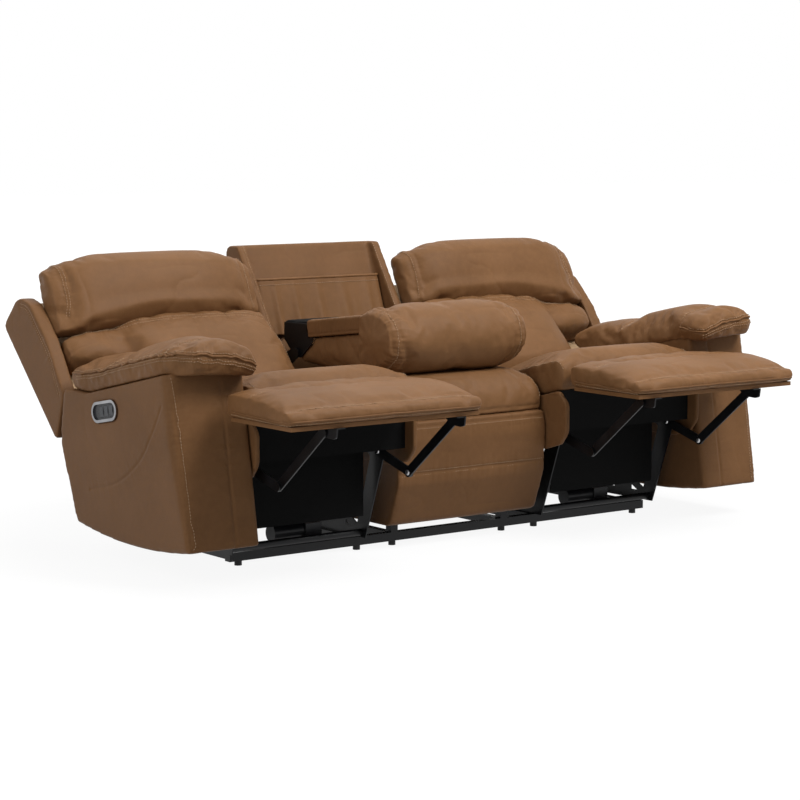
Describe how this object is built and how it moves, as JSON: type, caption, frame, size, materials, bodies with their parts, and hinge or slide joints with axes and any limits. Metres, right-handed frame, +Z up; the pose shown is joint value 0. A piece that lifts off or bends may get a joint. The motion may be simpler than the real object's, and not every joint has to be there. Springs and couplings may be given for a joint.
{
  "type": "reclining sofa",
  "caption": "Power reclining leather sofa with side footrests out, tilting headrests and a middle back that folds down as a console table.",
  "frame": {"origin": "centre of the bounding box's floor face, under the middle seat", "axes": "+X to the viewer's right along the sofa's length, seats face -Y, +Z up"},
  "size_m": [2.2108, 1.3608, 0.8756],
  "materials": {
    "leather": "soft tan leather, low sheen, fine grain",
    "leather_cover": "tan leather drawn over the padded arm and shell panels",
    "steel": "black powder coat",
    "wood": "raw plywood and lumber inside the frame",
    "dust_cloth": "black lining cloth over wood",
    "glide": "black moulded plastic",
    "panel": "satin chromed bezel round a black face",
    "rocker": "satin black plastic",
    "cup": "blue-black metallic cup liner",
    "motor": "black motor and gearbox housing",
    "pin_steel": "zinc plated hinge hardware"
  },
  "bodies": {
    "frame": {"base_frame": "steel", "glide_feet": "glide", "arm_frames": "wood", "control_panels": "panel", "middle_seat_box": "leather_cover", "middle_seat_cushion": "leather", "middle_back_shell": "leather_cover", "storage_pocket": "leather", "console_hinge_brackets": "steel", "seat_decks": "dust_cloth", "seat_side_panels": "leather_cover", "mechanism_frames": "steel", "actuators": "motor", "frame_brackets": "steel", "dust_curtains": "dust_cloth", "left_arm_cover": "leather_cover", "left_arm_pad": "leather", "left_seat_cushion": "leather", "right_arm_cover": "leather_cover", "right_arm_pad": "leather", "right_seat_cushion": "leather"},
    "console": {"console_board": "leather_cover", "cup_holders": "cup", "console_cover": "dust_cloth", "console_hinge_arms": "steel", "console_cushion": "leather", "console_bolster": "leather"},
    "left_back": {"left_back_shell": "leather_cover", "left_back_board": "wood", "left_back_hardware": "steel", "left_lumbar_cushion": "leather"},
    "left_headrest": {"left_headrest_arms": "pin_steel", "left_headrest_cushion": "leather"},
    "left_rear_link": {"left_rear_links": "steel"},
    "left_front_link": {"left_front_links": "steel"},
    "left_footrest": {"left_footrest_brackets": "steel", "left_footrest_board": "wood", "left_footrest_pad": "leather"},
    "left_slider": {"left_actuator_slider": "steel"},
    "left_rear_rocker": {"left_rear_rocker": "rocker"},
    "left_middle_rocker": {"left_middle_rocker": "rocker"},
    "left_front_rocker": {"left_front_rocker": "rocker"},
    "right_back": {"right_back_shell": "leather_cover", "right_back_board": "wood", "right_back_hardware": "steel", "right_lumbar_cushion": "leather"},
    "right_headrest": {"right_headrest_arms": "pin_steel", "right_headrest_cushion": "leather"},
    "right_rear_link": {"right_rear_links": "steel"},
    "right_front_link": {"right_front_links": "steel"},
    "right_footrest": {"right_footrest_brackets": "steel", "right_footrest_board": "wood", "right_footrest_pad": "leather"},
    "right_slider": {"right_actuator_slider": "steel"},
    "right_rear_rocker": {"right_rear_rocker": "rocker"},
    "right_middle_rocker": {"right_middle_rocker": "rocker"},
    "right_front_rocker": {"right_front_rocker": "rocker"}
  },
  "joints": [
    {"name": "console_fold", "type": "hinge", "parent": "frame", "child": "console", "pos_m": [0, 0.32964, 0.55], "axis": [1, 0, 0], "range_deg": [-104.5, 0]},
    {"name": "left_recline", "type": "hinge", "parent": "frame", "child": "left_back", "pos_m": [0, 0.30464, 0.395], "axis": [1, 0, 0], "range_deg": [0, 20]},
    {"name": "left_headrest_tilt", "type": "hinge", "parent": "left_back", "child": "left_headrest", "pos_m": [0, 0.50489, 0.61335], "axis": [1, 0, 0], "range_deg": [-18, 0]},
    {"name": "left_footrest_drive", "type": "hinge", "parent": "frame", "child": "left_rear_link", "pos_m": [0, -0.24036, 0.31], "axis": [1, 0, 0], "range_deg": [0, 137.24]},
    {"name": "left_elbow", "type": "hinge", "parent": "left_rear_link", "child": "left_front_link", "pos_m": [0, -0.39536, 0.265], "axis": [1, 0, 0], "range_deg": [-86.5, 0]},
    {"name": "left_footrest_pivot", "type": "hinge", "parent": "left_front_link", "child": "left_footrest", "pos_m": [0, -0.61036, 0.44], "axis": [1, 0, 0], "range_deg": [0, 41.2]},
    {"name": "left_actuator_travel", "type": "slide", "parent": "frame", "child": "left_slider", "axis": [0, 1, 0], "range_m": [0, 0.121]},
    {"name": "left_rear_rocker_tilt", "type": "hinge", "parent": "frame", "child": "left_rear_rocker", "pos_m": [-1.095, 0.06335, 0.4507], "axis": [0, 0.9848, -0.1736], "range_deg": [-4, 4], "stiffness_Nm_per_rad": 0.5},
    {"name": "left_middle_rocker_tilt", "type": "hinge", "parent": "frame", "child": "left_middle_rocker", "pos_m": [-1.095, 0.03676, 0.45539], "axis": [0, 0.9848, -0.1736], "range_deg": [-4, 4], "stiffness_Nm_per_rad": 0.5},
    {"name": "left_front_rocker_tilt", "type": "hinge", "parent": "frame", "child": "left_front_rocker", "pos_m": [-1.095, 0.01017, 0.46008], "axis": [0, 0.9848, -0.1736], "range_deg": [-4, 4], "stiffness_Nm_per_rad": 0.5},
    {"name": "right_recline", "type": "hinge", "parent": "frame", "child": "right_back", "pos_m": [0, 0.30464, 0.395], "axis": [1, 0, 0], "range_deg": [0, 20]},
    {"name": "right_headrest_tilt", "type": "hinge", "parent": "right_back", "child": "right_headrest", "pos_m": [0, 0.50489, 0.61335], "axis": [1, 0, 0], "range_deg": [-18, 0]},
    {"name": "right_footrest_drive", "type": "hinge", "parent": "frame", "child": "right_rear_link", "pos_m": [0, -0.24036, 0.31], "axis": [1, 0, 0], "range_deg": [0, 137.24]},
    {"name": "right_elbow", "type": "hinge", "parent": "right_rear_link", "child": "right_front_link", "pos_m": [0, -0.39536, 0.265], "axis": [1, 0, 0], "range_deg": [-86.5, 0]},
    {"name": "right_footrest_pivot", "type": "hinge", "parent": "right_front_link", "child": "right_footrest", "pos_m": [0, -0.61036, 0.44], "axis": [1, 0, 0], "range_deg": [0, 41.2]},
    {"name": "right_actuator_travel", "type": "slide", "parent": "frame", "child": "right_slider", "axis": [0, 1, 0], "range_m": [0, 0.121]},
    {"name": "right_rear_rocker_tilt", "type": "hinge", "parent": "frame", "child": "right_rear_rocker", "pos_m": [1.095, 0.06335, 0.4507], "axis": [0, 0.9848, -0.1736], "range_deg": [-4, 4], "stiffness_Nm_per_rad": 0.5},
    {"name": "right_middle_rocker_tilt", "type": "hinge", "parent": "frame", "child": "right_middle_rocker", "pos_m": [1.095, 0.03676, 0.45539], "axis": [0, 0.9848, -0.1736], "range_deg": [-4, 4], "stiffness_Nm_per_rad": 0.5},
    {"name": "right_front_rocker_tilt", "type": "hinge", "parent": "frame", "child": "right_front_rocker", "pos_m": [1.095, 0.01017, 0.46008], "axis": [0, 0.9848, -0.1736], "range_deg": [-4, 4], "stiffness_Nm_per_rad": 0.5}
  ],
  "couplings": [
    {"joint": "left_elbow", "follows": "left_footrest_drive", "ratio": -0.62687},
    {"joint": "left_footrest_pivot", "follows": "left_footrest_drive", "ratio": 0.29725},
    {"joint": "left_actuator_travel", "follows": "left_footrest_drive", "m_per_rad": 0.0501},
    {"joint": "right_elbow", "follows": "right_footrest_drive", "ratio": -0.62687},
    {"joint": "right_footrest_pivot", "follows": "right_footrest_drive", "ratio": 0.29725},
    {"joint": "right_actuator_travel", "follows": "right_footrest_drive", "m_per_rad": 0.0501}
  ]
}
